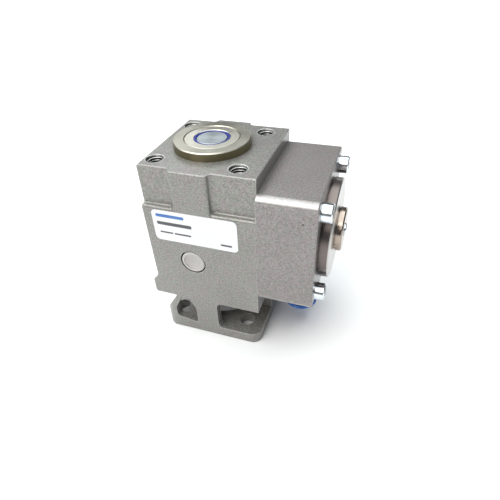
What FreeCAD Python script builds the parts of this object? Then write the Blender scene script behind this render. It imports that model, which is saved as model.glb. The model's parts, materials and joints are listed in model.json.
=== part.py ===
import FreeCAD, Part

import math
import os

import Sketcher

# A rod lock for a pneumatic cylinder with a 32 mm bore and a 12 mm rod.
# The rod runs along Z through the origin, and Z = 0 is the face that seats on the cylinder.
# The release cylinder stands on the +X side and works along X.

doc = FreeCAD.newDocument("rod_lock")
sheet = doc.addObject("Spreadsheet::Sheet", "Size")

DIMENSIONS = {
    # casting outline
    "block_left": 20.5, "block_right": 24.6, "block_half": 24.6, "block_top": 81.5,
    "yoke_top": 20.3, "base_thick": 5.0, "edge_break": 0.5,
    "rib_half": 7.45, "recess": 2.3, "recess_drop": 15.5, "recess_corner": 1.8,
    "ledge_root": 0.8, "ledge_lip": 1.1,
    "foot_out": 2.7, "foot_flat_top": 27.5, "foot_slope_top": 30.2, "foot_toe": 0.7,
    "leg_top": 13.2, "leg_knee": 7.0, "leg_round": 5.5, "plan_corner": 4.2,
    "pillar_left": 4.6, "pillar_right": 5.6, "web": 3.4, "side_wall": 4.0, "gusset_in": 10.0,
    "window_round": 2.6,
    "eye_left": 14.9, "eye_low": 6.6, "eye_shoulder": 12.0, "eye_top": 20.1, "eye_peak": 10.8,
    "eye_crown": 7.4, "eye_side": 14.0, "eye_fillet": 2.0, "crown_fillet": 1.6,
    "side_pillar_half": 5.3,
    # interface to the cylinder and to the load side
    "bolt_half": 16.25, "bolt_hole": 3.3, "neck_bore": 15.05,
    "tap_hole": 3.0, "tap_depth": 11.5, "tap_mouth": 3.45, "foot_fillet": 0.6,
    # rod and its guides
    "rod": 6.0, "rod_low": 7.0, "rod_high": 84.35, "running": 0.03, "bearing_wall": 1.2,
    "collar": 15.0, "collar_high": 84.7, "collar_spigot": 13.0, "collar_low": 73.5,
    "collar_lip": 9.0, "bush_outer": 10.65, "bush_low": 75.5, "wiper_outer": 6.95, "wiper_low": 81.2,
    "rod_tunnel": 9.0, "lower_bush": 8.0, "lower_bush_low": 20.6, "lower_bush_high": 29.5,
    # clamp chamber
    "chamber_left": 13.5, "chamber_half": 12.2, "chamber_low": 29.8, "chamber_high": 57.5,
    "pivot_back": 2.4, "pivot_high": 41.7, "pivot_pin": 3.0, "pivot_seat": 20.5, "plug_hole": 5.5,
    "plug": 4.95, "plug_bowl": 3.75, "bowl_step": 0.45, "bowl_deep": 0.9,
    "tilt": 4.0, "clamp_half_high": 10.7, "clamp_half_deep": 11.5, "clamp_left": 11.0,
    "clamp_right": 10.0, "ring_inner": 6.83, "ring_outer": 8.6, "ring_high": 4.6, "clamp_bore": 7.6,
    "arm_end": 20.0, "arm_half": 8.0, "arm_low": 46.5, "arm_high": 56.5, "clamp_chamfer": 1.2,
    "pin_inner": 8.3, "pin_outer": 12.1, "pin_clear": 0.05,
    "head_slot_in": 12.9, "head_slot_out": 16.5, "head_slot_half": 4.5,
    "neck_slot_in": 16.0, "neck_slot_out": 21.0, "neck_slot_half": 2.9, "slot_clear": 0.5,
    # release cylinder
    "axis_high": 51.9, "housing_end": 46.3, "housing_half": 24.5, "housing_low": 28.3,
    "housing_high": 76.0, "housing_round": 3.0, "piston_bore": 16.5, "partition": 2.5,
    "spring_room": 5.0, "piston_thick": 3.8, "screw_offset": 18.25,
    "cover_radius": 19.75, "cover_thick": 3.9, "cover_gap": 0.5, "cover_spigot": 3.0, "cover_hole": 6.0,
    "boss_radius": 8.75, "boss_thick": 3.0, "jack_screw": 2.45, "jack_start": 41.2,
    "jack_long": 12.7, "seal_groove": 1.75, "jack_socket": 1.25, "jack_socket_deep": 2.6,
    "tip_start": 37.2, "tip": 2.1, "tip_long": 4.0,
    "stem": 4.0, "stem_start": 14.1, "stem_head": 2.8, "stem_neck": 2.5, "stem_neck_end": 9.2,
    "stem_seat": 3.0, "seal_groove_low": 0.9, "seal_groove_high": 2.9, "seal_land": 2.0,
    "disc_count": 4, "disc_thick": 0.8, "disc_lift": 0.43, "disc_gap": 0.01, "disc_start": 0.03,
    "disc_inner": 4.6, "disc_outer": 14.0, "seat_wider": 1.3, "seat_deep": 1.6,
    "shank": 2.0, "shank_hole": 2.2, "shank_start": 19.7, "head": 3.5, "head_high": 4.0,
    "head_chamfer": 0.4, "head_socket": 1.73, "head_socket_deep": 2.2, "side_tap_deep": 5.3,
    "passage": 1.5, "passage_shift": 0.2, "passage_short": 10.0, "end_chamfer": 0.35,
    # air fitting
    "port_x": 37.5, "port_thread": 4.85, "port_deep": 5.2, "fitting": 7.0, "fitting_low": 12.2,
    "fitting_inner": 5.5, "fitting_seat": 19.2, "fitting_stop": 24.0, "fitting_bore": 2.5,
    "gasket": 0.55, "ring_collar": 7.3, "ring_collar_low": 8.8, "ring_neck": 5.2,
    "ring_neck_end": 16.2, "tube": 4.1, "grip_low": 17.9, "tube_seal_low": 18.7,
    "tube_seal_high": 19.15,
    # label
    "label_left": 16.75, "label_right": 17.7, "label_low": 51.1, "label_high": 64.9,
    "label_thick": 0.25, "label_corner": 1.8,
}
for row, (alias, number) in enumerate(DIMENSIONS.items(), start=1):
    sheet.set("A%d" % row, alias)
    sheet.set("B%d" % row, str(number))
    sheet.setAlias("B%d" % row, alias)
doc.recompute()

SUBPARTS = []


def expression(text):
    """The text with every dimension's name made a reference to its cell."""
    words, word = [], ""
    for letter in text + " ":
        if letter.isalnum() or letter == "_":
            word += letter
            continue
        words.append("Size." + word if word in DIMENSIONS else word)
        words.append(letter)
        word = ""
    return "".join(words).strip()


def value(text):
    return float(sheet.evalExpression(expression(text)))


def new_body(label):
    body = doc.addObject("PartDesign::Body", label)
    body.Label = label
    SUBPARTS.append(body)
    return body


def place(obj, x="0", y="0", z="0", turn_axis=(0, 0, 1), turn=0.0):
    """Put a finished sub-part where it belongs, with its position bound to the sheet."""
    rotation = FreeCAD.Rotation(FreeCAD.Vector(*turn_axis), turn)
    obj.Placement = FreeCAD.Placement(FreeCAD.Vector(value(x), value(y), value(z)), rotation)
    for name, text in (("x", x), ("y", y), ("z", z)):
        obj.setExpression("Placement.Base." + name, expression(text))


def empty_sketch(body, role, name, offset="0"):
    sketch = body.newObject("Sketcher::SketchObject", name)
    plane = next(item for item in body.Origin.OriginFeatures if item.Role == role)
    sketch.AttachmentSupport = [(plane, "")]
    sketch.MapMode = "FlatFace"
    sketch.setExpression("AttachmentOffset.Base.z", expression(offset))
    return sketch


def pin_down(sketch, kind, *where, text):
    """One dimension of a sketch, bound to the sheet."""
    index = sketch.addConstraint(Sketcher.Constraint(kind, *where, value(text)))
    sketch.setExpression("Constraints[%d]" % index, expression(text))


def add_outline(sketch, corners):
    """A closed outline of straight lines, each corner an (across, up) pair of expressions."""
    first = sketch.GeometryCount
    spots = [FreeCAD.Vector(value(across), value(up), 0) for across, up in corners]
    count = len(spots)
    for i in range(count):
        sketch.addGeometry(Part.LineSegment(spots[i], spots[(i + 1) % count]), False)
    for i in range(count):
        following = first + (i + 1) % count
        sketch.addConstraint(Sketcher.Constraint("Coincident", first + i, 2, following, 1))
    for i, (across, up) in enumerate(corners):
        pin_down(sketch, "DistanceX", -1, 1, first + i, 1, text=across)
        pin_down(sketch, "DistanceY", -1, 1, first + i, 1, text=up)


def outline(body, role, name, corners, offset="0"):
    sketch = empty_sketch(body, role, name, offset)
    add_outline(sketch, corners)
    return sketch


def rectangle(body, role, name, low, high, offset="0"):
    corners = [low, (high[0], low[1]), high, (low[0], high[1])]
    return outline(body, role, name, corners, offset)


def circles(body, role, name, centres, radius, offset="0"):
    sketch = empty_sketch(body, role, name, offset)
    for across, up in centres:
        centre = FreeCAD.Vector(value(across), value(up), 0)
        circle = Part.Circle(centre, FreeCAD.Vector(0, 0, 1), value(radius))
        index = sketch.addGeometry(circle, False)
        pin_down(sketch, "DistanceX", -1, 1, index, 3, text=across)
        pin_down(sketch, "DistanceY", -1, 1, index, 3, text=up)
        pin_down(sketch, "Radius", index, text=radius)
    return sketch


def extrude(body, kind, sketch, name, length, symmetric=False, reverse=False):
    """A Pad or a Pocket, checked to have changed the solid."""
    before = body.Shape.Volume if body.Tip else 0.0
    feature = body.newObject("PartDesign::" + kind, name)
    feature.Profile = sketch
    feature.SideType = "Symmetric" if symmetric else "One side"
    feature.Reversed = reverse
    feature.setExpression("Length", expression(length))
    sketch.Visibility = False
    doc.recompute()
    change = body.Shape.Volume - before
    wanted = 1 if kind == "Pad" else -1
    assert change * wanted > 1e-3, "%s of %s changed the volume by %f" % (name, body.Label, change)
    return feature


def round_edges(body, kind, name, size, test):
    """Fillet or chamfer the edges of the body whose middle passes the test."""
    base = body.Tip
    chosen = []
    for number, edge in enumerate(base.Shape.Edges, start=1):
        middle = edge.valueAt((edge.FirstParameter + edge.LastParameter) / 2)
        if test(edge, middle):
            chosen.append("Edge%d" % number)
    assert chosen, "%s of %s finds no edge" % (name, body.Label)
    feature = body.newObject("PartDesign::" + kind, name)
    feature.Base = (base, chosen)
    feature.setExpression("Radius" if kind == "Fillet" else "Size", expression(size))
    body.Tip = feature
    doc.recompute()
    assert "Invalid" not in feature.State, "%s of %s failed" % (name, body.Label)
    return feature


def kind_of(edge):
    """The name of the edge's curve type, empty for the odd ends that some fillets leave."""
    try:
        return edge.Curve.TypeId
    except TypeError:
        return ""


def along(edge, axis):
    """True for a straight edge that runs along the axis, 0 to 2 for X to Z."""
    if kind_of(edge) != "Part::GeomLine":
        return False
    return abs(abs(edge.Curve.Direction[axis]) - 1) < 1e-6


def near(number, text, within=0.05):
    return abs(number - value(text)) < within


def turned(label, profiles):
    """A turned piece about its own Z axis, from (radius, height) outlines."""
    body = new_body(label)
    sketch = empty_sketch(body, "XZ_Plane", label + "_profile")
    for corners in profiles:
        add_outline(sketch, corners)
    feature = body.newObject("PartDesign::Revolution", label + "_turned")
    feature.Profile = sketch
    feature.ReferenceAxis = (sketch, ["V_Axis"])
    feature.Angle = 360
    doc.recompute()
    return body


def ring(label, inner, outer, low, high):
    return turned(label, [[(inner, low), (outer, low), (outer, high), (inner, high)]])


def square_of(half, middle_up="0"):
    """Four points on a square, as expression pairs."""
    return [("%s%s" % (a, half), "%s %s %s" % (middle_up, b, half))
            for a in ("-", "") for b in ("-", "+")]


def hexagon(radius, across="0", up="0"):
    """The six corners of a hexagon socket, as expression pairs."""
    return [("%s + %s * cos(%d)" % (across, radius, angle),
             "%s + %s * sin(%d)" % (up, radius, angle)) for angle in range(0, 360, 60)]


ALONG_X = {"turn_axis": (0, 1, 0), "turn": 90.0}
BEYOND = "40"
BOWL_STEPS = 8


def body_casting():
    """The painted casting: clamp block above, open yoke with the cylinder flange below."""
    body = new_body("body_casting")
    plan = rectangle(body, "XY_Plane", "block_plan",
                     ("-block_left", "-block_half"), ("block_right", "block_half"))
    extrude(body, "Pad", plan, "block", "block_top")
    foot = outline(body, "XZ_Plane", "foot_profile", [
        ("-block_left + 1", "yoke_top"),
        ("-block_left - foot_out + foot_toe", "yoke_top"),
        ("-block_left - foot_out", "yoke_top + foot_toe"),
        ("-block_left - foot_out", "foot_flat_top"),
        ("-block_left", "foot_slope_top"),
        ("-block_left + 1", "foot_slope_top")])
    extrude(body, "Pad", foot, "foot", "2 * block_half", symmetric=True)

    # the yoke: slanted left wall, an eye beside the middle pillar, open corners on the right
    knee = [("leg_round * (1 - cos(%d)) - block_left" % angle,
             "leg_knee + leg_round * sin(%d)" % angle) for angle in range(32, -1, -8)]
    slant = outline(body, "XZ_Plane", "slant_profile", [
        ("-leg_top", "yoke_top"), *knee, (f"-{BEYOND}", "leg_knee"), (f"-{BEYOND}", "yoke_top")])
    extrude(body, "Pocket", slant, "slant", "3 * block_half", symmetric=True)
    round_edges(body, "Fillet", "left_plan_corners", "plan_corner", lambda edge, middle:
                along(edge, 2) and middle.z < value("leg_knee")
                and near(abs(middle.y), "block_half") and near(middle.x, "-block_left"))
    eye = outline(body, "XZ_Plane", "eye_profile", [
        ("-eye_crown", "eye_top"), ("-pillar_left", "eye_side"), ("-pillar_left", "base_thick"),
        ("-eye_left", "eye_low"), ("-eye_left", "eye_shoulder"), ("-eye_peak", "eye_top")])
    extrude(body, "Pocket", eye, "eye", "3 * block_half", symmetric=True)
    round_edges(body, "Fillet", "eye_round", "eye_fillet", lambda edge, middle:
                along(edge, 1) and near(middle.x, "-eye_left"))
    round_edges(body, "Fillet", "eye_crown", "crown_fillet", lambda edge, middle:
                along(edge, 1) and (near(middle.z, "eye_top") or near(middle.z, "eye_side")))
    room = "yoke_top - base_thick"
    inside = rectangle(body, "XY_Plane", "yoke_room_plan", ("-gusset_in", "-side_pillar_half"),
                       ("block_right - side_wall", "side_pillar_half"), "base_thick")
    extrude(body, "Pocket", inside, "yoke_room", room, reverse=True)
    for name, side in (("front", "-"), ("back", "")):
        bay = rectangle(body, "XY_Plane", name + "_bay_plan",
                        (f"-{BEYOND}", side + "(side_pillar_half - 0.1)"),
                        (BEYOND, side + "(block_half - web)"), "base_thick")
        extrude(body, "Pocket", bay, name + "_bay", room, reverse=True)
        corner = rectangle(body, "XY_Plane", name + "_corner_plan",
                           ("pillar_right", side + "(block_half - web - 0.1)"),
                           (BEYOND, side + BEYOND), "base_thick")
        extrude(body, "Pocket", corner, name + "_open_corner", room, reverse=True)

    # the four stepped corners beside the middle ribs
    for side_name, y_side in (("front", "-"), ("back", "")):
        for end_name, x_side in (("left", "-"), ("right", "")):
            step = rectangle(body, "XY_Plane", "step_plan",
                             (x_side + "rib_half", y_side + "(block_half - recess)"),
                             (x_side + BEYOND, y_side + BEYOND), "block_top")
            extrude(body, "Pocket", step, side_name + "_" + end_name + "_step", "recess_drop")

    # rod tunnel, seats and clamp chamber
    for name, radius, low, high in (
            ("collar_seat", "collar_spigot", "collar_low", "block_top"),
            ("rod_tunnel", "rod_tunnel", "chamber_high", "collar_low"),
            ("lower_bush_seat", "lower_bush", "yoke_top", "chamber_low"),
            ("neck_bore", "neck_bore", "0", "base_thick")):
        circle = circles(body, "XY_Plane", name + "_circle", [("0", "0")], radius, low)
        extrude(body, "Pocket", circle, name, "(%s) - (%s)" % (high, low), reverse=True)
    chamber = rectangle(body, "YZ_Plane", "chamber_plan", ("-chamber_half", "chamber_low"),
                        ("chamber_half", "chamber_high"), "block_right")
    extrude(body, "Pocket", chamber, "clamp_chamber", "block_right + chamber_left")

    # pivot pin holes with their plug counterbores, front and back
    centre = [("-pivot_back", "pivot_high")]
    pin_hole = circles(body, "XZ_Plane", "pin_hole_circle", centre, "pivot_pin")
    extrude(body, "Pocket", pin_hole, "pin_holes", "2 * pivot_seat + 1", symmetric=True)
    for name, offset, reverse in (("front", "pivot_seat", True), ("back", "-pivot_seat", False)):
        seat = circles(body, "XZ_Plane", name + "_seat_circle", centre, "plug_hole", offset)
        extrude(body, "Pocket", seat, name + "_plug_seat", BEYOND, reverse=reverse)

    # screw holes
    base_holes = circles(body, "XY_Plane", "base_hole_circles", square_of("bolt_half"), "bolt_hole")
    extrude(body, "Pocket", base_holes, "base_holes", "base_thick", reverse=True)
    taps = circles(body, "XY_Plane", "tap_circles", square_of("bolt_half"), "tap_hole", "block_top")
    extrude(body, "Pocket", taps, "taps", "tap_depth")
    side_taps = circles(body, "YZ_Plane", "side_tap_circles",
                        square_of("screw_offset", "axis_high"), "shank", "block_right")
    extrude(body, "Pocket", side_taps, "side_taps", "side_tap_deep")
    round_edges(body, "Chamfer", "tap_mouths", "tap_mouth - tap_hole", lambda edge, middle:
                kind_of(edge) == "Part::GeomCircle" and near(middle.z, "block_top")
                and near(edge.Curve.Radius, "tap_hole"))

    # rounded corners
    round_edges(body, "Fillet", "right_plan_corners", "plan_corner", lambda edge, middle:
                along(edge, 2) and middle.z < value("base_thick")
                and near(abs(middle.y), "block_half") and near(middle.x, "block_right"))
    round_edges(body, "Fillet", "window_corners", "window_round", lambda edge, middle:
                along(edge, 1) and near(middle.x, "pillar_right")
                and abs(middle.y) > value("block_half - web"))
    round_edges(body, "Fillet", "step_corners", "recess_corner", lambda edge, middle:
                along(edge, 2) and near(abs(middle.x), "rib_half")
                and near(abs(middle.y), "block_half - recess"))
    round_edges(body, "Fillet", "foot_round", "foot_fillet", lambda edge, middle:
                along(edge, 1) and near(middle.x, "-block_left - foot_out"))
    round_edges(body, "Fillet", "ledge_roots", "ledge_root", lambda edge, middle:
                along(edge, 0) and near(middle.z, "block_top - recess_drop")
                and near(abs(middle.y), "block_half - recess"))
    round_edges(body, "Fillet", "ledge_lips", "ledge_lip", lambda edge, middle:
                along(edge, 0) and near(middle.z, "block_top - recess_drop")
                and near(abs(middle.y), "block_half"))
    round_edges(body, "Fillet", "top_rim", "edge_break", lambda edge, middle:
                near(middle.z, "block_top") and edge.Length > 8
                and kind_of(edge) == "Part::GeomLine")


def rod_pieces():
    """The rod, its two bearings, the wiper and the nickelled centring collar."""
    clear = "rod + running"
    turned("piston_rod", [[("0", "rod_low"), ("rod - 0.8", "rod_low"), ("rod", "rod_low + 0.8"),
                           ("rod", "rod_high - 0.35"), ("rod - 0.35", "rod_high"),
                           ("0", "rod_high")]])
    turned("front_collar", [[
        ("collar_lip", "collar_low"), ("collar_spigot", "collar_low"),
        ("collar_spigot", "block_top"), ("collar", "block_top"),
        ("collar", "collar_high - 0.35"), ("collar - 0.35", "collar_high"),
        ("bush_outer + 0.25", "collar_high"), ("bush_outer", "collar_high - 0.3"),
        ("bush_outer", "bush_low"), ("collar_lip", "bush_low")]])
    turned("guide_bush", [[
        ("rod + running + bearing_wall", "bush_low"), ("bush_outer", "bush_low"),
        ("bush_outer", "collar_high - 0.45"), ("bush_outer - 0.25", "collar_high - 0.15"),
        ("wiper_outer + 0.2", "collar_high - 0.15"), ("wiper_outer", "collar_high - 0.35"),
        ("wiper_outer", "wiper_low"), ("rod + running + bearing_wall", "wiper_low")]])
    ring("front_bearing", clear, "rod + running + bearing_wall", "bush_low", "wiper_low")
    turned("rod_wiper", [[
        (clear, "wiper_low"), ("wiper_outer", "wiper_low"), ("wiper_outer", "collar_high - 0.5"),
        ("wiper_outer - 0.2", "collar_high - 0.3"), ("rod + 0.3", "collar_high - 0.3"),
        (clear, "collar_high - 0.6")]])
    turned("lower_bearing", [[
        (clear, "lower_bush_low"), ("lower_bush - 0.3", "lower_bush_low"),
        ("lower_bush", "lower_bush_low + 0.3"), ("lower_bush", "lower_bush_high"),
        (clear, "lower_bush_high")]])


def tilted(body):
    """Hold a clamp piece at its locking tilt about the pivot pins."""
    place(body, "-pivot_back", "0", "pivot_high", (0, 1, 0), value("tilt"))


def rocker_clamp():
    """The clamp round the rod, drawn upright about its pivot and stored tilted."""
    body = new_body("rocker_clamp")
    front = outline(body, "XZ_Plane", "clamp_profile", [
        ("pivot_back - clamp_left", "-clamp_half_high"),
        ("pivot_back + clamp_right", "-clamp_half_high"),
        ("pivot_back + clamp_right", "clamp_half_high"),
        ("pivot_back - clamp_left", "clamp_half_high")])
    extrude(body, "Pad", front, "clamp_block", "2 * clamp_half_deep", symmetric=True)
    arm = outline(body, "XZ_Plane", "arm_profile", [
        ("pivot_back + clamp_right - 2", "arm_low - pivot_high"),
        ("pivot_back + arm_end", "arm_low - pivot_high"),
        ("pivot_back + arm_end", "arm_high - pivot_high"),
        ("pivot_back + clamp_right + 2.9", "arm_high - pivot_high"),
        ("pivot_back + clamp_right - 2", "clamp_half_high - 1")])
    extrude(body, "Pad", arm, "arm", "2 * arm_half", symmetric=True)
    rod_hole = circles(body, "XY_Plane", "clamp_bore_circle", [("pivot_back", "0")], "clamp_bore")
    extrude(body, "Pocket", rod_hole, "clamp_bore", "3 * clamp_half_high", symmetric=True)
    for name, offset, reverse in (("upper", "clamp_half_high", False),
                                  ("lower", "-clamp_half_high", True)):
        seat = circles(body, "XY_Plane", name + "_ring_circle", [("pivot_back", "0")],
                       "ring_outer", offset)
        extrude(body, "Pocket", seat, name + "_ring_seat", "ring_high", reverse=reverse)
    for name, offset, reverse in (("front", "clamp_half_deep", False),
                                  ("back", "-clamp_half_deep", True)):
        hole = circles(body, "XZ_Plane", name + "_pivot_circle", [("0", "0")],
                       "pivot_pin + pin_clear", offset)
        extrude(body, "Pocket", hole, name + "_pivot_hole",
                "clamp_half_deep - pin_inner + 0.2", reverse=reverse)
    for name, under in (("head", "stem"), ("neck", "stem_neck")):
        near_x, far_x, half = (name + "_slot" + end for end in ("_in", "_out", "_half"))
        slot = rectangle(body, "YZ_Plane", name + "_slot_plan",
                         ("-" + half, "axis_high - %s - slot_clear - pivot_high" % under),
                         (half, "arm_high - pivot_high + 1"), far_x + " + pivot_back")
        extrude(body, "Pocket", slot, name + "_slot", far_x + " - " + near_x)
    round_edges(body, "Chamfer", "clamp_corners", "clamp_chamfer", lambda edge, middle:
                along(edge, 2) and near(abs(middle.y), "clamp_half_deep"))
    tilted(body)


def clamp_rings():
    """The two hardened rings whose edges bite on the rod."""
    spans = {"upper_clamp_ring": ("clamp_half_high - ring_high", "clamp_half_high"),
             "lower_clamp_ring": ("-clamp_half_high", "ring_high - clamp_half_high")}
    for label, (low, high) in spans.items():
        body = new_body(label)
        disc = circles(body, "XY_Plane", label + "_disc", [("pivot_back", "0")], "ring_outer", low)
        extrude(body, "Pad", disc, label + "_blank", "(%s) - (%s)" % (high, low))
        hole = circles(body, "XY_Plane", label + "_hole", [("pivot_back", "0")], "ring_inner", low)
        extrude(body, "Pocket", hole, label + "_bore", "(%s) - (%s)" % (high, low), reverse=True)
        tilted(body)


def pivots():
    """The stub pins that the clamp tilts on, and the plastic plugs over them."""
    for side, y_sign, turn in (("front", "-", 90.0), ("back", "", -90.0)):
        pin = turned("pivot_pin_" + side, [[
            ("0", "0"), ("pivot_pin - 0.5", "0"), ("pivot_pin", "0.5"),
            ("pivot_pin", "pin_outer - 0.3"), ("pivot_pin - 0.3", "pin_outer"),
            ("0", "pin_outer")]])
        place(pin, "-pivot_back", y_sign + "pin_inner", "pivot_high", (1, 0, 0), turn)
        deep = "block_half - pivot_seat"
        shares = [step / BOWL_STEPS for step in range(BOWL_STEPS, -1, -1)]
        floor = deep + " - bowl_step"
        bowl = [("plug_bowl * %.4f" % share, "%s - bowl_deep * %.4f" % (floor, 1 - share ** 2))
                for share in shares]
        plug = turned("pivot_plug_" + side, [[
            ("0", "0.3"), ("plug - 0.3", "0.3"), ("plug", "0.6"), ("plug", deep + " - 0.4"),
            ("plug - 0.12", deep + " - 0.12"), ("plug - 0.4", deep),
            ("plug_bowl + 0.15", deep)] + bowl])
        place(plug, "-pivot_back", y_sign + "pivot_seat", "pivot_high", (1, 0, 0), turn)


def cylinder_housing():
    """The painted housing of the release cylinder."""
    body = new_body("cylinder_housing")
    end = rectangle(body, "YZ_Plane", "housing_plan", ("-housing_half", "housing_low"),
                    ("housing_half", "housing_high"), "block_right")
    extrude(body, "Pad", end, "housing_block", "housing_end - block_right")
    round_edges(body, "Fillet", "long_edges", "housing_round", lambda edge, middle: along(edge, 0))
    middle_spot = [("0", "axis_high")]
    bore = circles(body, "YZ_Plane", "piston_bore_circle", middle_spot, "piston_bore",
                   "housing_end")
    extrude(body, "Pocket", bore, "piston_bore", "housing_end - block_right - partition")
    seat = circles(body, "YZ_Plane", "seal_seat_circle", middle_spot, "piston_bore + seat_wider",
                   "housing_end")
    extrude(body, "Pocket", seat, "seal_seat", "seat_deep")
    guide = circles(body, "YZ_Plane", "stem_guide_circle", middle_spot, "stem + pin_clear",
                    "block_right")
    extrude(body, "Pocket", guide, "stem_guide", "partition", reverse=True)
    holes = circles(body, "YZ_Plane", "through_circles", square_of("screw_offset", "axis_high"),
                    "shank_hole", "block_right")
    extrude(body, "Pocket", holes, "through_holes", BEYOND, reverse=True)
    port = circles(body, "XY_Plane", "port_circle", [("port_x", "0")], "port_thread",
                   "housing_low")
    extrude(body, "Pocket", port, "port", "port_deep", reverse=True)
    passage = circles(body, "XY_Plane", "passage_circle", [("port_x + passage_shift", "0")], "passage",
                      "housing_low")
    extrude(body, "Pocket", passage, "passage", "axis_high - housing_low - passage_short",
            reverse=True)
    round_edges(body, "Chamfer", "end_edge", "end_chamfer", lambda edge, middle:
                near(middle.x, "housing_end") and
                (near(abs(middle.y), "housing_half") or near(middle.z, "housing_low")
                 or near(middle.z, "housing_high")))


def on_cylinder_axis(body, start):
    place(body, start, "0", "axis_high", **ALONG_X)


def release_cylinder():
    """What is inside the housing and on its end, each piece along the cylinder's own axis."""
    cones = []
    for i in range(int(value("disc_count"))):
        low = "disc_start + %d * (disc_thick + disc_lift + disc_gap)" % i
        inner_low, outer_low = (low + " + disc_lift", low) if i % 2 else (low, low + " + disc_lift")
        cones.append([("disc_inner", inner_low), ("disc_outer", outer_low),
                      ("disc_outer", outer_low + " + disc_thick"),
                      ("disc_inner", inner_low + " + disc_thick")])
    on_cylinder_axis(turned("disc_springs", cones), "block_right + partition")

    piston = turned("release_piston", [[
        ("stem_seat", "0"), ("piston_bore - 0.6", "0"), ("piston_bore - 0.1", "0.4"),
        ("piston_bore - 0.1", "seal_groove_low"), ("piston_bore - seal_land", "seal_groove_low"),
        ("piston_bore - seal_land", "seal_groove_high"), ("piston_bore - 0.1", "seal_groove_high"),
        ("piston_bore - 0.1", "piston_thick - 0.3"), ("piston_bore - 0.4", "piston_thick"),
        ("stem_seat", "piston_thick")]])
    on_cylinder_axis(piston, "block_right + partition + spring_room")
    seal = ring("piston_seal", "piston_bore - seal_land", "piston_bore - 0.05",
                "seal_groove_low + 0.05", "seal_groove_high - 0.05")
    on_cylinder_axis(seal, "block_right + partition + spring_room")

    stem_long = "(block_right + partition + spring_room - stem_start)"
    stem = turned("piston_stem", [[
        ("0", "0"), ("stem - 0.5", "0"), ("stem", "0.5"), ("stem", "stem_head"),
        ("stem_neck", "stem_head"), ("stem_neck", "stem_neck_end"),
        ("stem - 0.6", "stem_neck_end"), ("stem", "stem_neck_end + 0.6"), ("stem", stem_long),
        ("stem_seat", stem_long), ("stem_seat", stem_long + " + piston_thick"),
        ("0", stem_long + " + piston_thick")]])
    on_cylinder_axis(stem, "stem_start")

    cover = turned("end_cover", [[
        ("cover_hole", "-cover_spigot"), ("piston_bore - 0.4", "-cover_spigot"),
        ("piston_bore", "0.4 - cover_spigot"), ("piston_bore", "0"),
        ("cover_radius - 1", "0"), ("cover_radius - 1", "cover_gap"), ("cover_radius", "cover_gap"),
        ("cover_radius", "cover_thick - 0.4"), ("cover_radius - 0.4", "cover_thick"),
        ("cover_hole", "cover_thick")]])
    on_cylinder_axis(cover, "housing_end")
    cover_seal = ring("cover_seal", "piston_bore + 0.05", "piston_bore + seat_wider - 0.05",
                      "0.05 - seat_deep", "-0.05")
    on_cylinder_axis(cover_seal, "housing_end")

    boss = turned("release_boss", [[
        ("jack_screw + 0.05", "-cover_spigot"), ("cover_hole", "-cover_spigot"),
        ("cover_hole", "cover_thick"), ("boss_radius - 0.35", "cover_thick"),
        ("boss_radius - 0.35", "cover_thick + 0.3"), ("boss_radius", "cover_thick + 0.5"),
        ("boss_radius", "cover_thick + boss_thick - 0.5"),
        ("boss_radius - 0.5", "cover_thick + boss_thick"),
        ("jack_screw + 0.6", "cover_thick + boss_thick"),
        ("jack_screw + 0.05", "cover_thick + boss_thick - 0.5")]])
    on_cylinder_axis(boss, "housing_end")

    screw = turned("release_screw", [[
        ("0", "0"), ("jack_screw - 0.5", "0"), ("jack_screw", "0.5"), ("jack_screw", "4.2"),
        ("seal_groove", "4.2"), ("seal_groove", "5.8"), ("jack_screw", "5.8"),
        ("jack_screw", "jack_long - 0.3"), ("jack_screw - 0.3", "jack_long"),
        ("0", "jack_long")]])
    socket = outline(screw, "XY_Plane", "release_socket_plan", hexagon("jack_socket"), "jack_long")
    extrude(screw, "Pocket", socket, "release_socket", "jack_socket_deep")
    on_cylinder_axis(screw, "jack_start")
    screw_seal = ring("release_seal", "seal_groove", "jack_screw + 0.02", "4.25", "5.75")
    on_cylinder_axis(screw_seal, "jack_start")
    tip = turned("release_tip", [[("0", "0"), ("tip - 0.9", "0"), ("tip", "0.7"),
                                  ("tip", "tip_long"), ("0", "tip_long")]])
    on_cylinder_axis(tip, "tip_start")


def housing_screws():
    """Four socket head screws through the housing into the casting, as one set."""
    body = new_body("housing_screws")
    corners = square_of("screw_offset", "axis_high")
    shanks = circles(body, "YZ_Plane", "shank_circles", corners, "shank", "shank_start")
    extrude(body, "Pad", shanks, "shanks", "housing_end + 0.5 - shank_start")
    heads = circles(body, "YZ_Plane", "head_circles", corners, "head", "housing_end")
    extrude(body, "Pad", heads, "heads", "head_high")
    round_edges(body, "Chamfer", "head_edges", "head_chamfer", lambda edge, middle:
                kind_of(edge) == "Part::GeomCircle" and near(edge.Curve.Radius, "head")
                and near(middle.x, "housing_end + head_high"))
    sockets = empty_sketch(body, "YZ_Plane", "socket_plan", "housing_end + head_high")
    for across, up in corners:
        add_outline(sockets, hexagon("head_socket", across, up))
    extrude(body, "Pocket", sockets, "sockets", "head_socket_deep")


def at_port(body):
    place(body, "port_x", "0", "0")


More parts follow.
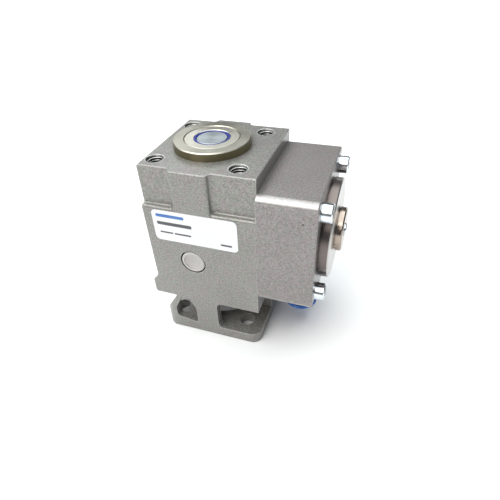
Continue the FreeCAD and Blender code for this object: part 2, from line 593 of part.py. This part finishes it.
def air_fitting():
    """The push-in fitting under the housing, with its blue release collar."""
    at_port(turned("port_fitting", [[
        ("fitting_bore", "fitting_stop"), ("tube", "fitting_stop"), ("tube", "fitting_seat"),
        ("fitting_inner", "fitting_seat"), ("fitting_inner", "fitting_low"),
        ("fitting - 0.4", "fitting_low"), ("fitting", "fitting_low + 0.4"),
        ("fitting", "housing_low - gasket - 0.05"),
        ("fitting - 1.2", "housing_low - gasket - 0.05"),
        ("fitting - 1.2", "housing_low"), ("port_thread", "housing_low"),
        ("port_thread", "housing_low + port_deep - 0.8"),
        ("port_thread - 0.5", "housing_low + port_deep - 0.3"),
        ("fitting_bore", "housing_low + port_deep - 0.3")]]))
    at_port(ring("fitting_gasket", "fitting - 1.15", "fitting - 0.1",
                 "housing_low - gasket", "housing_low"))
    at_port(turned("release_collar", [[
        ("tube", "ring_collar_low"), ("ring_collar - 0.6", "ring_collar_low"),
        ("ring_collar", "ring_collar_low + 0.5"), ("ring_collar", "ring_collar_low + 1.3"),
        ("ring_collar - 0.4", "ring_collar_low + 1.7"), ("ring_neck", "ring_collar_low + 1.7"),
        ("ring_neck", "ring_neck_end"), ("tube", "ring_neck_end - 0.6")]]))
    at_port(turned("grip_ring", [[
        ("tube + 0.2", "grip_low + 0.3"), ("fitting_inner", "grip_low"),
        ("fitting_inner", "grip_low + 0.4"), ("tube + 0.2", "grip_low + 0.7")]]))
    at_port(ring("tube_seal", "tube + 0.05", "fitting_inner - 0.05",
                 "tube_seal_low", "tube_seal_high"))


def name_label():
    """A blank self-adhesive label on the front face."""
    body = new_body("name_label")
    plan = rectangle(body, "XZ_Plane", "label_plan", ("-label_left", "label_low"),
                     ("label_right", "label_high"), "block_half")
    extrude(body, "Pad", plan, "label_sheet", "label_thick")
    round_edges(body, "Fillet", "label_corners", "label_corner",
                lambda edge, middle: along(edge, 1))


def write_parts():
    doc.recompute()
    for obj in doc.Objects:
        bad = [word for word in obj.State if word in ("Invalid", "Error")]
        assert not bad, "%s is %s" % (obj.Label, bad)
    os.makedirs("parts", exist_ok=True)
    for body in SUBPARTS:
        shape = body.Shape
        assert not shape.isNull() and shape.isValid(), body.Label
        shape.exportStep("parts/%s.step" % body.Label)
        box = shape.BoundBox
        print("%-18s %2d solid(s) %9.1f mm3  x %.1f..%.1f  y %.1f..%.1f  z %.1f..%.1f" % (
            body.Label, len(shape.Solids), shape.Volume,
            box.XMin, box.XMax, box.YMin, box.YMax, box.ZMin, box.ZMax))
    print(len(SUBPARTS), "sub-parts, rocker arm", value("axis_high - pivot_high"), "mm, travel",
          round(value("axis_high - pivot_high") * math.radians(value("tilt")), 3), "mm")


body_casting()
rod_pieces()
rocker_clamp()
clamp_rings()
pivots()
cylinder_housing()
release_cylinder()
housing_screws()
air_fitting()
name_label()
write_parts()
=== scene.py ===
import json
import math

import bmesh
import bpy
from mathutils import Matrix, Vector


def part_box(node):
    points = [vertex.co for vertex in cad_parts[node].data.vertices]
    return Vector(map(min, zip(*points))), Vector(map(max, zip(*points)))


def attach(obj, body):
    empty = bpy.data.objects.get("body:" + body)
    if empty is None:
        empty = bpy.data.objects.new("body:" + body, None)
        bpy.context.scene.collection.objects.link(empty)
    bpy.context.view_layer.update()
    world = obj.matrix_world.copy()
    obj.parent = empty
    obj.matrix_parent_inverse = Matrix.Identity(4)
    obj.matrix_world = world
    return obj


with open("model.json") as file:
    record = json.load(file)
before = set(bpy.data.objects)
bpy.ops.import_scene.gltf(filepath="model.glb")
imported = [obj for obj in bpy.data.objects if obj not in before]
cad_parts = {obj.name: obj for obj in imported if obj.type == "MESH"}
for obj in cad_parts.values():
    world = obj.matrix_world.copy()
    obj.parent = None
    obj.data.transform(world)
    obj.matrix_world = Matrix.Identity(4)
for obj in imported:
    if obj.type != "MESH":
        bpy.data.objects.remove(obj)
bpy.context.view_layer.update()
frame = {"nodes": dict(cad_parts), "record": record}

NODES = frame["nodes"]
MM = 0.001

SOFT_CORNER = 0.35 * MM      # how far light rounds the painted corners
TURNED_CORNER = 0.15 * MM
WORN_WIDTH = 0.7 * MM        # how far from a corner the paint can rub through
WORN_START, WORN_END = 0.17, 0.24

FLAKES, GRAINS, CLOUDS = 2300.0, 1500.0, 70.0       # noise scales of the paint, per metre
PEEL_COARSE, PEEL_FINE = 800.0, 2400.0

# the tapped holes' insides carry no paint and get a dark colour as painted shade
TAPPED_HOLE = 3.30 * MM      # radius round a tapped hole that carries no paint
TAPPED_DEEP = 13.0 * MM
UNDERSIDE_SKIN = 0.05 * MM
SPECK_RADIUS = 0.38 * MM
SPECK_FROM_END, SPECK_FROM_TOP = 4.9 * MM, 7.7 * MM

THREAD_LEAD_IN = 0.75 * MM   # from the top face to the first turn
THREAD_LENGTH = 10.2 * MM
THREAD_WALL = 3.0 * MM
THREAD_CREST = 2.52 * MM
THREAD_PITCH = 1.0 * MM
THREAD_SINK = 0.03 * MM      # how far the ridge stands in the wall
STEPS_PER_TURN = 40

PRINT_LIFT, PRINT_SINK = 0.012 * MM, 0.02 * MM

FLOOR_HALF = 4.0
FLOOR_DROP = 0.2 * MM
LIGHT_TARGET = Vector((0.01, 0, 0.045))

# ---------------------------------------------------------------- camera

FOCAL = 0.804                # focal length in widths of the frame
SENSOR = 36.0
CLIP_NEAR, CLIP_FAR = 0.005, 20.0
EYE = Vector((0.06238, -0.13266, 0.14567))
LOOK = Vector((-0.27192, 0.73221, -0.62444))
RIGHT = Vector((0.94685, 0.31947, -0.03771))


def make_camera():
    data = bpy.data.cameras.new("camera")
    data.sensor_width = SENSOR
    data.lens = FOCAL * SENSOR
    data.clip_start, data.clip_end = CLIP_NEAR, CLIP_FAR
    cam = bpy.data.objects.new("camera", data)
    back = -LOOK.normalized()
    right = (RIGHT - back * RIGHT.dot(back)).normalized()
    up = back.cross(right)
    turn = Matrix((right, up, back)).transposed()
    cam.matrix_world = Matrix.Translation(EYE) @ turn.to_4x4()
    bpy.context.collection.objects.link(cam)
    bpy.context.scene.camera = cam


# ---------------------------------------------------------------- materials


class Nodes:
    """A short way to write a node tree: each call makes a node and links what it is given."""

    def __init__(self, name):
        self.material = bpy.data.materials.new(name)
        self.material.use_nodes = True
        self.tree = self.material.node_tree
        self.tree.nodes.clear()
        self.output = self.tree.nodes.new("ShaderNodeOutputMaterial")
        self.shader = self.tree.nodes.new("ShaderNodeBsdfPrincipled")
        self.tree.links.new(self.shader.outputs[0], self.output.inputs["Surface"])
        self.place = self.tree.nodes.new("ShaderNodeTexCoord").outputs["Object"]

    def put(self, socket, value):
        if isinstance(value, bpy.types.NodeSocket):
            self.tree.links.new(value, socket)
        elif isinstance(value, (tuple, list)) and len(value) == 3 and len(socket.default_value) == 4:
            socket.default_value = (*value, 1.0)
        else:
            socket.default_value = value

    def set(self, **values):
        for name, value in values.items():
            self.put(self.shader.inputs[name.replace("_", " ")], value)

    def noise(self, scale, detail=3.0, roughness=0.5, at=None):
        node = self.tree.nodes.new("ShaderNodeTexNoise")
        self.put(node.inputs["Vector"], at or self.place)
        for name, value in (("Scale", scale), ("Detail", detail), ("Roughness", roughness)):
            self.put(node.inputs[name], value)
        return node.outputs["Fac"]

    def cells(self, scale):
        node = self.tree.nodes.new("ShaderNodeTexVoronoi")
        self.put(node.inputs["Vector"], self.place)
        self.put(node.inputs["Scale"], scale)
        return node.outputs["Distance"]

    def ramp(self, value, low, high, out_low=0.0, out_high=1.0):
        node = self.tree.nodes.new("ShaderNodeMapRange")
        node.clamp = True
        for name, number in (("Value", value), ("From Min", low), ("From Max", high),
                             ("To Min", out_low), ("To Max", out_high)):
            self.put(node.inputs[name], number)
        return node.outputs["Result"]

    def math(self, operation, a, b=0.0, c=0.0):
        node = self.tree.nodes.new("ShaderNodeMath")
        node.operation = operation
        for socket, value in zip(node.inputs, (a, b, c)):
            self.put(socket, value)
        return node.outputs[0]

    def mix(self, factor, a, b):
        node = self.tree.nodes.new("ShaderNodeMix")
        node.data_type = "RGBA"
        self.put(node.inputs["Factor"], factor)
        colours = [socket for socket in node.inputs if socket.type == "RGBA"]
        self.put(colours[0], a)
        self.put(colours[1], b)
        return next(socket for socket in node.outputs if socket.type == "RGBA")

    def bump(self, height, distance, strength=1.0, normal=None):
        node = self.tree.nodes.new("ShaderNodeBump")
        self.put(node.inputs["Height"], height)
        node.inputs["Distance"].default_value = distance
        node.inputs["Strength"].default_value = strength
        if normal is not None:
            self.put(node.inputs["Normal"], normal)
        return node.outputs["Normal"]

    def moved(self, offset=(0, 0, 0), scale=(1, 1, 1)):
        node = self.tree.nodes.new("ShaderNodeMapping")
        self.put(node.inputs["Vector"], self.place)
        node.inputs["Location"].default_value = offset
        node.inputs["Scale"].default_value = scale
        return node.outputs[0]

    def axes(self, vector=None):
        """The three parts of a vector, or of the place on the object."""
        node = self.tree.nodes.new("ShaderNodeSeparateXYZ")
        self.put(node.inputs[0], vector or self.place)
        return node.outputs

    def facing(self):
        return self.tree.nodes.new("ShaderNodeNewGeometry").outputs["Normal"]


def soft_corners(m, radius):
    """The surface normal with sharp edges rounded by the radius."""
    node = m.tree.nodes.new("ShaderNodeBevel")
    node.samples = 6
    node.inputs["Radius"].default_value = radius
    return node.outputs["Normal"]


def dot(m, a, b):
    node = m.tree.nodes.new("ShaderNodeVectorMath")
    node.operation = "DOT_PRODUCT"
    m.put(node.inputs[0], a)
    m.put(node.inputs[1], b)
    return node.outputs["Value"]


def worn_edges(m, width, start, end, top=None):
    """1 on the sharp outer corners where the paint has rubbed through, 0 elsewhere.

    The corners round the top face, above the height top, are rubbed the most.
    """
    bend = m.math("SUBTRACT", 1.0, dot(m, soft_corners(m, width), m.facing()))
    at_edge = m.ramp(bend, 0.008, 0.04)
    raised = m.math("MULTIPLY_ADD", m.noise(420.0, 4.0, 0.65), 0.44, -0.22)
    if top is not None:
        high = m.ramp(m.axes()[2], top, top + 0.3 * MM, 0.0, 0.22)
        raised = m.math("ADD", raised, high)
    return m.ramp(m.math("MULTIPLY_ADD", at_edge, raised, bend), start, end)


def rounding_highlight(m):
    """1 on the long rounding between the front or back and the top or bottom, 0 elsewhere.

    There the paint gets a painted highlight: paler and more metallic, dappled by noise.
    """
    facing = m.axes(m.facing())
    both = m.math("ABSOLUTE", m.math("MULTIPLY", facing[1], facing[2]))
    return m.ramp(m.math("MULTIPLY_ADD", m.noise(900.0, 3.0, 0.6), 0.30, both), 0.24, 0.62)


def near_axis(m, across, up, radius, spots):
    """1 inside a circle round each spot, seen along the third axis, 0 elsewhere."""
    place = m.axes()
    total = 0.0
    for spot_across, spot_up in spots:
        side = m.math("SUBTRACT", place[across], spot_across)
        rise = m.math("SUBTRACT", place[up], spot_up)
        reach = m.math("ADD", m.math("MULTIPLY", side, side), m.math("MULTIPLY", rise, rise))
        total = m.math("ADD", total, m.math("LESS_THAN", reach, radius * radius))
    return total


def hammer_paint(name, light, dark, bare_and_shade=None, blemish=None, rubbed_top=None, rounding=None):
    """Metallic grey paint: mottled, with pale flakes, a fine peel and rubbed corners.

    bare_and_shade is a mask of faces cut after painting, which carry no paint and get a dark colour
    as painted shade, blemish a mask of dark specks, rubbed_top the height above which the corners
    are rubbed the most, and rounding a mask of faces that get a painted highlight of paler, more
    metallic paint.
    """
    m = Nodes(name)
    flakes = m.ramp(m.cells(FLAKES), 0.05, 0.45, 1.0, 0.0)
    grains = m.noise(GRAINS, 2.0, 0.65)
    broad = m.noise(CLOUDS, 3.0, 0.55)
    speck = m.math("MULTIPLY_ADD", flakes, 0.26, m.ramp(grains, 0.28, 0.72, 0.0, 0.62))
    tone = m.math("MULTIPLY_ADD", broad, 0.22, speck)
    colour = m.mix(m.ramp(tone, 0.12, 0.95), dark, light)
    tint = m.mix(m.ramp(m.noise(520.0, 1.0), 0.35, 0.65), (0.97, 1.03, 0.98), (1.04, 0.97, 1.01))
    tinted = m.tree.nodes.new("ShaderNodeVectorMath")
    tinted.operation = "MULTIPLY"
    m.put(tinted.inputs[0], colour)
    m.put(tinted.inputs[1], tint)
    colour = tinted.outputs["Vector"]
    if blemish is not None:
        colour = m.mix(blemish(m), colour, (0.06, 0.045, 0.035))
    worn = worn_edges(m, WORN_WIDTH, WORN_START, WORN_END, rubbed_top)
    colour = m.mix(m.math("MULTIPLY", worn, 0.8), colour, (0.80, 0.80, 0.78))
    rough = m.ramp(grains, 0.25, 0.75, 0.27, 0.38)
    metal = m.math("MULTIPLY_ADD", worn, -0.24, 0.34)
    if rounding is not None:
        # painted highlight: the rounding's paint is made paler to stand in for the highlight there,
        # and more metallic
        painted_highlight = rounding(m)
        colour = m.mix(m.math("MULTIPLY", painted_highlight, 0.45), colour, (0.70, 0.69, 0.68))
        metal = m.math("MULTIPLY_ADD", painted_highlight, 0.3, metal)
    if bare_and_shade is not None:
        # painted shade: the unpainted hole walls and underside get a dark colour that stands in for
        # the shade inside the deep holes; they are also made fully metallic, with roughness towards
        # 0.42
        bare_shaded = bare_and_shade(m)
        colour = m.mix(bare_shaded, colour, (0.16, 0.16, 0.15))
        rough = m.ramp(bare_shaded, 0.0, 1.0, rough, 0.42)
        metal = m.math("MAXIMUM", metal, bare_shaded)
    peel = m.math("MULTIPLY_ADD", m.noise(PEEL_COARSE, 2.0, 0.5), 0.7, m.noise(PEEL_FINE, 1.0, 0.5))
    m.set(Base_Color=colour, Metallic=metal, Roughness=rough)
    m.set(Normal=m.bump(peel, 0.00005, 0.5, normal=soft_corners(m, SOFT_CORNER)))
    m.shader.inputs["Coat Weight"].default_value = 0.20
    m.shader.inputs["Coat Roughness"].default_value = 0.22
    return m.material


def turned_metal(name, colour, shade, axis, centre, roughness=0.24, pitch=0.00022,
                 depth=0.000003, shaded_wall=None):
    """Metal with the fine rings that a lathe leaves about an axis through the centre.

    shaded_wall is a darker colour, painted shade on the faces that look away from the axis, where it
    is given.
    """
    m = Nodes(name)
    place = m.axes(m.moved(offset=[-c for c in centre]))
    across = [place[i] for i in range(3) if i != axis]
    radius = m.math("SQRT", m.math("ADD", m.math("MULTIPLY", across[0], across[0]),
                                   m.math("MULTIPLY", across[1], across[1])))
    travel = m.math("ADD", radius, place[axis])
    wave = m.math("SINE", m.math("MULTIPLY", travel, 2 * math.pi / pitch))
    rings = m.math("MULTIPLY_ADD", wave, 0.35, m.noise(700.0, 2.0))
    fade = m.noise(60.0, 2.0)
    tone = m.math("MULTIPLY_ADD", rings, 0.3, m.math("MULTIPLY", fade, 0.4))
    paint = m.mix(m.ramp(tone, 0.15, 0.50), shade, colour)
    # painted shade: faces that look away from the axis take the darker colour where one is given
    if shaded_wall is not None:
        flat = m.ramp(m.math("ABSOLUTE", m.axes(m.facing())[axis]), 0.35, 0.75)
        paint = m.mix(flat, shaded_wall, paint)
    m.set(Base_Color=paint)
    m.set(Metallic=1.0, Roughness=m.ramp(fade, 0.3, 0.7, roughness * 0.85, roughness * 1.2))
    m.set(Normal=m.bump(rings, depth, 0.5, normal=soft_corners(m, TURNED_CORNER)))
    m.shader.inputs["Anisotropic"].default_value = 0.3
    return m.material


def plain_metal(name, colour, shade, roughness=0.3):
    """Milled, ground or plated metal with a faint uneven tone."""
    m = Nodes(name)
    fade = m.noise(400.0, 4.0, 0.6)
    streak = m.noise(60.0, 3.0, 0.5, at=m.moved(scale=(1.0, 1.0, 30.0)))
    tone = m.math("MULTIPLY_ADD", streak, 0.6, m.math("MULTIPLY", fade, 0.4))
    m.set(Base_Color=m.mix(m.ramp(tone, 0.35, 0.65), shade, colour), Metallic=1.0)
    m.set(Roughness=m.ramp(tone, 0.3, 0.7, roughness * 0.75, roughness * 1.3))
    m.set(Normal=m.bump(tone, 0.00001, 0.4))
    return m.material


def moulded(name, colour, shade, roughness=0.4, grain=900.0):
    """Moulded plastic or rubber with a soft grain."""
    m = Nodes(name)
    grain_height = m.noise(grain, 3.0, 0.6)
    cloud = m.noise(90.0, 2.0)
    m.set(Base_Color=m.mix(m.ramp(cloud, 0.35, 0.65), shade, colour))
    m.set(Roughness=m.ramp(grain_height, 0.3, 0.7, roughness * 0.85, roughness * 1.15))
    m.set(Normal=m.bump(grain_height, 0.00001, 0.5))
    return m.material


def centre_of(node):
    low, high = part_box(node)
    return (low + high) / 2


def bolt_square():
    """The four (x, y) places of the load side's threads."""
    mount = next(item for item in frame["record"]["mounts"] if item["name"] == "load_side_threads")
    half = (mount["dims"]["spacing_x_mm"] * MM / 2, mount["dims"]["spacing_y_mm"] * MM / 2)
    return [(x * half[0], y * half[1]) for x in (-1, 1) for y in (-1, 1)]


def bare_and_shaded_casting(m):
    """The walls of the tapped holes and the underside, which are cut after painting.

    They carry no paint, and hammer_paint gives them a dark colour as painted shade for the deep
    holes.
    """
    height = m.axes()[2]
    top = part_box("body_casting")[1].z
    underside = m.math("LESS_THAN", height, UNDERSIDE_SKIN)
    in_hole = near_axis(m, 0, 1, TAPPED_HOLE, bolt_square())
    in_block = m.math("GREATER_THAN", height, top - TAPPED_DEEP)
    return m.math("MINIMUM", 1.0, m.math("MULTIPLY_ADD", in_hole, in_block, underside))


def housing_speck(m):
    """One dark speck in the paint, at the same place on the housing's front and back."""
    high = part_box("cylinder_housing")[1]
    spot = [(high.x - SPECK_FROM_END, high.z - SPECK_FROM_TOP)]
    return near_axis(m, 0, 2, SPECK_RADIUS, spot)


def make_materials():
    rod_axis = (0.0, 0.0, 0.0)
    side_axis = tuple(centre_of("end_cover"))
    port_axis = tuple(centre_of("port_fitting"))
    steel = (0.42, 0.43, 0.45)
    return {
        # the casting's tapped holes and underside get a painted shade colour
        "casting_paint": hammer_paint("casting_paint", (0.385, 0.375, 0.35), (0.15, 0.146, 0.138),
                                      bare_and_shade=bare_and_shaded_casting,
                                      rubbed_top=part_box("body_casting")[1].z - 0.6 * MM),
        # the housing's long roundings get a painted highlight
        "housing_paint": hammer_paint("housing_paint", (0.385, 0.355, 0.345), (0.15, 0.14, 0.137),
                                      blemish=housing_speck, rounding=rounding_highlight),
        # the collar's sides get a darker colour as painted shade
        "collar_nickel": turned_metal("collar_nickel", (0.60, 0.575, 0.50), (0.48, 0.46, 0.385),
                                      2, rod_axis, 0.30, shaded_wall=(0.25, 0.22, 0.135)),
        "bush_nickel": turned_metal("bush_nickel", (0.71, 0.685, 0.61), (0.60, 0.575, 0.50),
                                    2, rod_axis, 0.34),
        "rod_steel": turned_metal("rod_steel", (0.40, 0.435, 0.455), (0.32, 0.35, 0.37),
                                  2, rod_axis, 0.46, 0.0004),
        # the end cover's rim gets a darker colour as painted shade
        "cover_metal": turned_metal("cover_metal", (0.60, 0.585, 0.565), (0.46, 0.445, 0.43),
                                    0, side_axis, 0.30, shaded_wall=(0.17, 0.145, 0.135)),
        "boss_nickel": turned_metal("boss_nickel", (0.45, 0.375, 0.32), (0.30, 0.245, 0.205),
                                    0, side_axis, 0.20),
        "fitting_nickel": turned_metal("fitting_nickel", (0.66, 0.64, 0.58), (0.45, 0.43, 0.38),
                                       2, port_axis, 0.22),
        "bare_aluminium": turned_metal("bare_aluminium", (0.74, 0.75, 0.76), (0.55, 0.56, 0.57),
                                       0, side_axis, 0.28),
        "brass_tip": turned_metal("brass_tip", (0.80, 0.60, 0.26), (0.55, 0.40, 0.15),
                                  0, side_axis, 0.25),
        "bronze": turned_metal("bronze", (0.62, 0.42, 0.18), (0.36, 0.24, 0.10), 2, rod_axis, 0.4),
        "clamp_steel": plain_metal("clamp_steel", steel, (0.28, 0.28, 0.29), 0.36),
        "hard_steel": plain_metal("hard_steel", (0.5, 0.5, 0.52), (0.34, 0.34, 0.36), 0.22),
        "spring_steel": plain_metal("spring_steel", (0.20, 0.20, 0.21), (0.10, 0.10, 0.11), 0.4),
        "zinc_steel": plain_metal("zinc_steel", (0.80, 0.84, 0.88), (0.58, 0.62, 0.66), 0.18),
        "wiper_blue": moulded("wiper_blue", (0.012, 0.030, 0.27), (0.008, 0.020, 0.18), 0.35),
        "plug_plastic": moulded("plug_plastic", (0.50, 0.48, 0.465), (0.43, 0.415, 0.40), 0.40),
        "seal_rubber": moulded("seal_rubber", (0.03, 0.03, 0.032), (0.018, 0.018, 0.02), 0.55),
        "gasket_plastic": moulded("gasket_plastic", (0.8, 0.8, 0.78), (0.7, 0.7, 0.68), 0.45),
        "collar_blue": moulded("collar_blue", (0.05, 0.20, 0.62), (0.03, 0.14, 0.50), 0.3),
        "label_white": moulded("label_white", (0.86, 0.86, 0.87), (0.80, 0.80, 0.82), 0.35,
                               grain=1500.0),
    }


def paint_cad_nodes(table):
    for part in frame["record"]["subparts"]:
        obj = NODES[part["node"]]
        material = table[part["material_slot"]]
        if not obj.material_slots:
            obj.data.materials.append(material)
        for item in obj.material_slots:
            item.material = material


# ---------------------------------------------------------------- pieces that Blender adds


def new_piece(name, mesh, material, body="lock_body"):
    piece = bpy.data.objects.new(name, mesh)
    mesh.materials.append(material)
    bpy.context.collection.objects.link(piece)
    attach(piece, body)
    return piece


def thread_ridge(name, centre, top, material):
    """The helical ridge of an internal thread, which runs out over a quarter turn at each end."""
    root = THREAD_WALL + THREAD_SINK
    steps = int(THREAD_LENGTH / THREAD_PITCH * STEPS_PER_TURN)
    half = 0.42 * THREAD_PITCH
    flat = 0.06 * THREAD_PITCH
    profile = [(root, -half), (THREAD_CREST, -flat), (THREAD_CREST, flat), (root, half)]
    shape = bmesh.new()
    rows = []
    for step in range(steps + 1):
        angle = 2 * math.pi * step / STEPS_PER_TURN
        middle = top - step / STEPS_PER_TURN * THREAD_PITCH
        grown = min(1.0, min(step, steps - step) / (STEPS_PER_TURN / 4))
        row = []
        for radius, lift in profile:
            reach = root + (radius - root) * grown
            row.append(shape.verts.new((centre[0] + reach * math.cos(angle),
                                        centre[1] + reach * math.sin(angle),
                                        middle + lift)))
        rows.append(row)
    for low_row, high_row in zip(rows, rows[1:]):
        for k in range(len(profile)):
            after = (k + 1) % len(profile)
            shape.faces.new((low_row[k], low_row[after], high_row[after], high_row[k]))
    shape.faces.new(rows[0])
    shape.faces.new(list(reversed(rows[-1])))
    bmesh.ops.recalc_face_normals(shape, faces=shape.faces)
    mesh = bpy.data.meshes.new(name)
    shape.to_mesh(mesh)
    shape.free()
    for face in mesh.polygons:
        face.use_smooth = True
    return new_piece(name, mesh, material)


def make_threads(material):
    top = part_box("body_casting")[1].z
    names = ("front_left", "back_left", "front_right", "back_right")
    for name, centre in zip(names, bolt_square()):
        thread_ridge("thread_" + name, centre, top - THREAD_LEAD_IN, material)


def rounded_bar(shape, left, low, wide, tall, corner, front, back):
    """One printed bar: a thin prism with round corners, facing -Y."""
    outline = []
    for centre_x, centre_z, start in ((left + wide - corner, low + tall - corner, 0),
                                      (left + corner, low + tall - corner, 90),
                                      (left + corner, low + corner, 180),
                                      (left + wide - corner, low + corner, 270)):
        for step in range(5):
            angle = math.radians(start + step * 22.5)
            outline.append((centre_x + corner * math.cos(angle),
                            centre_z + corner * math.sin(angle)))
    near_ring = [shape.verts.new((x, front, z)) for x, z in outline]
    far_ring = [shape.verts.new((x, back, z)) for x, z in outline]
    shape.faces.new(near_ring)
    shape.faces.new(list(reversed(far_ring)))
    for k in range(len(outline)):
        after = (k + 1) % len(outline)
        shape.faces.new((near_ring[after], near_ring[k], far_ring[k], far_ring[after]))


def make_label_print(dark, blue):
    """Plain bars where a label has its lines: one blue bar above grey ones, and no lettering.

    Each bar is its left end, its lower edge, its length and its height, in shares of the label.
    """
    low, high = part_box("name_label")
    wide, tall = high.x - low.x, high.z - low.z
    bars = {"label_print_blue": (blue, [(0.05, 0.79, 0.34, 0.10)]),
            "label_print_grey": (dark, [(0.05, 0.53, 0.42, 0.11), (0.07, 0.26, 0.16, 0.055),
                                        (0.25, 0.26, 0.20, 0.055), (0.80, 0.15, 0.13, 0.06)])}
    for name, (material, spots) in bars.items():
        shape = bmesh.new()
        for left, bottom, long, thick in spots:
            rounded_bar(shape, low.x + left * wide, low.z + bottom * tall, long * wide,
                        thick * tall, thick * tall * 0.3, low.y - PRINT_LIFT, low.y + PRINT_SINK)
        bmesh.ops.recalc_face_normals(shape, faces=shape.faces)
        mesh = bpy.data.meshes.new(name)
        shape.to_mesh(mesh)
        shape.free()
        new_piece(name, mesh, material)


# ---------------------------------------------------------------- stage


def make_floor():
    mesh = bpy.data.meshes.new("floor")
    mesh.from_pydata([(-FLOOR_HALF, -FLOOR_HALF, 0), (FLOOR_HALF, -FLOOR_HALF, 0),
                      (FLOOR_HALF, FLOOR_HALF, 0), (-FLOOR_HALF, FLOOR_HALF, 0)],
                     [], [(0, 1, 2, 3)])
    floor = bpy.data.objects.new("floor", mesh)
    floor.location.z = -FLOOR_DROP
    m = Nodes("floor_white")
    cloud = m.noise(3.0, 2.0)
    m.set(Base_Color=m.mix(cloud, (0.90, 0.90, 0.90), (0.93, 0.93, 0.93)), Roughness=0.9)
    m.shader.inputs["Specular IOR Level"].default_value = 0.1
    mesh.materials.append(m.material)
    bpy.context.collection.objects.link(floor)


def area_light(name, where, size, radiance, colour=(1, 1, 1)):
    """A soft box that faces the object. radiance is how bright its face looks."""
    data = bpy.data.lights.new(name, "AREA")
    data.shape = "RECTANGLE"
    data.size, data.size_y = size
    data.energy = radiance * math.pi * size[0] * size[1]
    data.color = colour
    light = bpy.data.objects.new(name, data)
    light.location = where
    light.rotation_mode = "QUATERNION"
    light.rotation_quaternion = (LIGHT_TARGET - Vector(where)).to_track_quat("-Z", "Y")
    bpy.context.collection.objects.link(light)


def make_lights():
    world = bpy.data.worlds.new("studio")
    world.use_nodes = True
    background = world.node_tree.nodes["Background"]
    background.inputs["Color"].default_value = (0.93, 0.97, 1.0, 1)
    background.inputs["Strength"].default_value = 0.14
    bpy.context.scene.world = world
    bpy.context.scene.view_settings.view_transform = "Standard"
    area_light("overhead", (-0.55, 0.2, 2.2), (4.0, 4.0), 2.6, (0.95, 0.99, 1.0))
    area_light("front_left", (-0.40, -0.88, 1.00), (0.85, 0.85), 3.8, (1.0, 0.96, 0.91))


make_camera()
materials = make_materials()
paint_cad_nodes(materials)
make_threads(plain_metal("cut_thread", (0.52, 0.52, 0.50), (0.34, 0.34, 0.33), 0.34))
make_label_print(moulded("grey_ink", (0.10, 0.10, 0.11), (0.07, 0.07, 0.08), 0.45),
                 moulded("blue_ink", (0.07, 0.20, 0.52), (0.05, 0.16, 0.45), 0.45))
make_floor()
make_lights()
